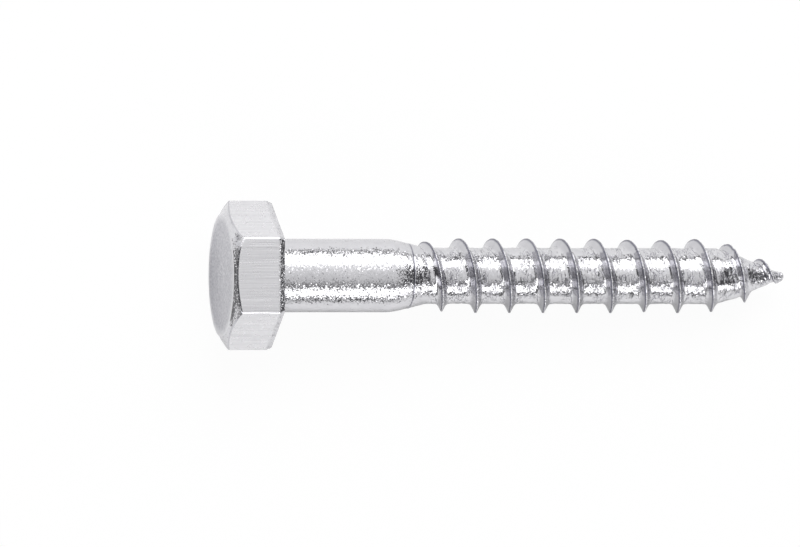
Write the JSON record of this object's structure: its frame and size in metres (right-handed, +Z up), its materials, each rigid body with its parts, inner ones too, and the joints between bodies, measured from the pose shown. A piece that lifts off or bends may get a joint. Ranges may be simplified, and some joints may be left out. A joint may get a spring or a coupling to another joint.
{
  "type": "hex head wood screw",
  "caption": "Hex head wood screw of bright steel, with a plain shank, a coarse rolled thread on a thinner core and a gimlet point, lying on its side.",
  "frame": {"origin": "the middle of the screw's footprint, on the surface it lies on", "axes": "+X along the screw from head to tip, whose point hangs 3.6 degrees below level because the wide head carries the other end, +Y across the head from corner to corner, +Z up, square to the head's uppermost flat but for those 3.6 degrees"},
  "size_m": [0.0752, 0.0192, 0.017],
  "materials": {
    "bright_steel": "bright, as drawn and rolled, with a matt forged top"
  },
  "bodies": {
    "root": {"hex_head_wood_screw": "bright_steel"}
  },
  "joints": []
}
